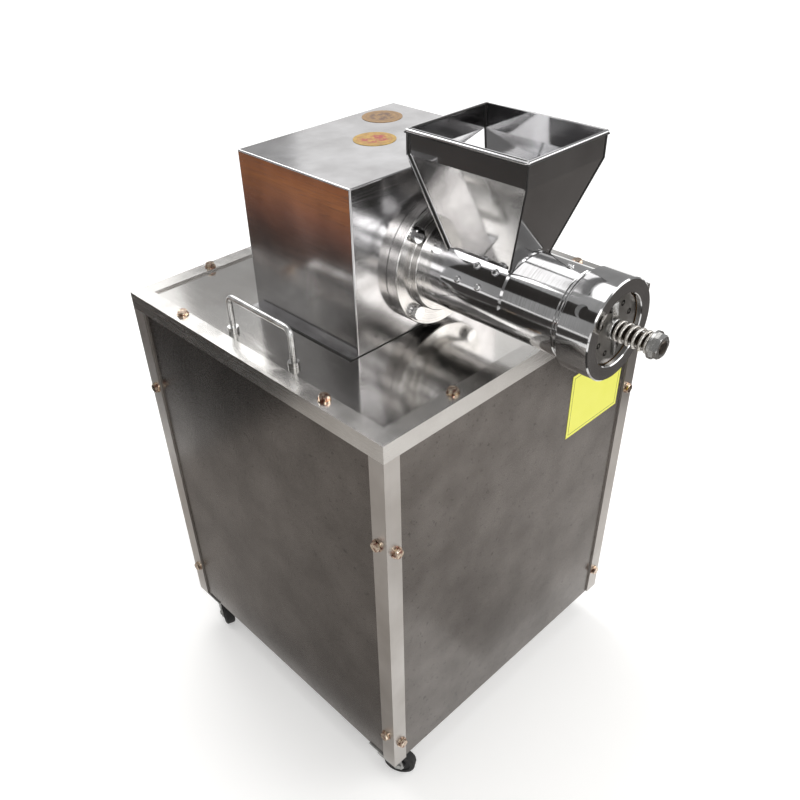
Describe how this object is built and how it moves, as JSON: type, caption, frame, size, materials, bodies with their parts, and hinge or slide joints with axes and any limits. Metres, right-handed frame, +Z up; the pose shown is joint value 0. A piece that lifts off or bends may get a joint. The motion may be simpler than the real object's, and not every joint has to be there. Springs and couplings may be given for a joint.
{
  "type": "electric pasta maker",
  "caption": "Motor-driven screw pasta extruder on a wheeled stainless cabinet, with feed hopper, screwed die cap and sprung rotary cutter.",
  "frame": {"origin": "on the floor, under the middle of the whole machine's box", "axes": "+Z up; the barrel points along -Y; +X is to the right when the die is seen from the front"},
  "size_m": [0.543, 0.7638, 0.957],
  "materials": {
    "frame_steel": "satin stainless angle bar",
    "panel_steel": "dull rolled stainless sheet",
    "polished_steel": "mirror polished stainless sheet",
    "turned_steel": "fine turned stainless",
    "plate_steel": "plain steel plate",
    "zinc_steel": "zinc plated",
    "cast_iron": "rough cast, painted",
    "motor_paint": "hammered paint",
    "bronze": "turned bronze",
    "black_rubber": "matte",
    "black_plastic": "moulded",
    "grey_plastic": "moulded",
    "green_plastic": "moulded",
    "red_plastic": "moulded",
    "label_yellow": "plain film label",
    "sticker_gold": "plain film sticker"
  },
  "bodies": {
    "cabinet": {"corner_posts": "frame_steel", "top_rails": "frame_steel", "bottom_rails": "plate_steel", "base_plate": "plate_steel", "top_plate": "polished_steel", "front_panel": "panel_steel", "rear_panel": "panel_steel", "left_panel": "panel_steel", "right_panel": "panel_steel", "frame_screws": "zinc_steel", "lift_handles": "polished_steel", "handle_collars": "zinc_steel", "front_label": "label_yellow", "caster_plates": "zinc_steel", "gearbox_cover": "polished_steel", "cover_stickers": "sticker_gold", "barrel": "turned_steel", "mounting_flange": "turned_steel", "flange_bolts": "zinc_steel", "feed_saddle": "polished_steel", "hopper": "polished_steel", "saddle_screws": "zinc_steel", "die_plate": "turned_steel", "die_inserts": "turned_steel", "gear_housing": "cast_iron", "gear_housing_lid": "cast_iron", "bearings": "turned_steel", "shaft_seal": "black_rubber", "v_belts": "black_rubber", "motor_housing": "motor_paint", "motor_end_bells": "motor_paint", "fan_cowl": "motor_paint", "terminal_box": "motor_paint", "motor_rails": "plate_steel", "control_box": "grey_plastic", "cable_gland": "black_plastic"},
    "screw": {"auger": "turned_steel", "output_gear": "plate_steel", "cutter_stud": "zinc_steel", "cutter_spring": "zinc_steel", "stud_nuts": "zinc_steel"},
    "cutter": {"cutter_blade": "polished_steel"},
    "pinion": {"pinion_shaft": "plate_steel", "driven_pulley": "cast_iron"},
    "motor": {"motor_rotor": "plate_steel", "motor_fan": "black_plastic", "motor_pulley": "cast_iron"},
    "slip_ring": {"slip_ring": "bronze"},
    "die_cap": {"die_cap": "turned_steel"},
    "start_button": {"start_button": "green_plastic"},
    "stop_button": {"stop_button": "red_plastic"},
    "caster_fork_1": {"caster_fork_1": "zinc_steel"},
    "caster_wheel_1": {"caster_wheel_1": "black_rubber"},
    "caster_fork_2": {"caster_fork_2": "zinc_steel"},
    "caster_wheel_2": {"caster_wheel_2": "black_rubber"},
    "caster_fork_3": {"caster_fork_3": "zinc_steel"},
    "caster_wheel_3": {"caster_wheel_3": "black_rubber"},
    "caster_fork_4": {"caster_fork_4": "zinc_steel"},
    "caster_wheel_4": {"caster_wheel_4": "black_rubber"}
  },
  "joints": [
    {"name": "motor_spin", "type": "hinge", "parent": "cabinet", "child": "motor", "pos_m": [0.0414, -0.0436, 0.205], "axis": [0, -1, 0], "continuous": true},
    {"name": "pinion_spin", "type": "hinge", "parent": "cabinet", "child": "pinion", "pos_m": [0.0414, 0.0084, 0.8354], "axis": [0, -1, 0], "continuous": true},
    {"name": "screw_spin", "type": "hinge", "parent": "cabinet", "child": "screw", "pos_m": [-0.018, 0.0084, 0.776], "axis": [0, 1, 0], "continuous": true},
    {"name": "cutter_float", "type": "slide", "parent": "screw", "child": "cutter", "axis": [0, -1, 0], "range_m": [0, 0.008], "stiffness_N_per_m": 1500, "springref_m": -0.004, "deforming": ["cutter_spring"]},
    {"name": "cap_travel", "type": "slide", "parent": "cabinet", "child": "slip_ring", "axis": [0, -1, 0], "range_m": [0, 0.0281]},
    {"name": "cap_turn", "type": "hinge", "parent": "slip_ring", "child": "die_cap", "pos_m": [-0.018, -0.3061, 0.776], "axis": [0, -1, 0], "range_deg": [0, 2520]},
    {"name": "start_press", "type": "slide", "parent": "cabinet", "child": "start_button", "axis": [0, -1, 0], "range_m": [0, 0.004], "stiffness_N_per_m": 400, "springref_m": -0.002},
    {"name": "stop_press", "type": "slide", "parent": "cabinet", "child": "stop_button", "axis": [0, -1, 0], "range_m": [0, 0.004], "stiffness_N_per_m": 600, "springref_m": -0.002},
    {"name": "caster_swivel_1", "type": "hinge", "parent": "cabinet", "child": "caster_fork_1", "pos_m": [-0.241, -0.1726, 0.055], "axis": [0, 0, 1], "continuous": true},
    {"name": "caster_roll_1", "type": "hinge", "parent": "caster_fork_1", "child": "caster_wheel_1", "pos_m": [-0.2325, -0.18732, 0.025], "axis": [0.866, 0.5, 0], "continuous": true},
    {"name": "caster_swivel_2", "type": "hinge", "parent": "cabinet", "child": "caster_fork_2", "pos_m": [0.241, -0.1726, 0.055], "axis": [0, 0, 1], "continuous": true},
    {"name": "caster_roll_2", "type": "hinge", "parent": "caster_fork_2", "child": "caster_wheel_2", "pos_m": [0.24395, -0.15586, 0.025], "axis": [-0.9848, 0.1736, 0], "continuous": true},
    {"name": "caster_swivel_3", "type": "hinge", "parent": "cabinet", "child": "caster_fork_3", "pos_m": [0.241, 0.2854, 0.055], "axis": [0, 0, 1], "continuous": true},
    {"name": "caster_roll_3", "type": "hinge", "parent": "caster_fork_3", "child": "caster_wheel_3", "pos_m": [0.2366, 0.26898, 0.025], "axis": [0.9659, -0.2588, 0], "continuous": true},
    {"name": "caster_swivel_4", "type": "hinge", "parent": "cabinet", "child": "caster_fork_4", "pos_m": [-0.241, 0.2854, 0.055], "axis": [0, 0, 1], "continuous": true},
    {"name": "caster_roll_4", "type": "hinge", "parent": "caster_fork_4", "child": "caster_wheel_4", "pos_m": [-0.24681, 0.26943, 0.025], "axis": [0.9397, -0.342, 0], "continuous": true}
  ],
  "couplings": [
    {"joint": "pinion_spin", "follows": "motor_spin", "ratio": 0.525},
    {"joint": "screw_spin", "follows": "motor_spin", "ratio": 0.105},
    {"joint": "cap_travel", "follows": "cap_turn", "m_per_rad": 0.00063662}
  ]
}
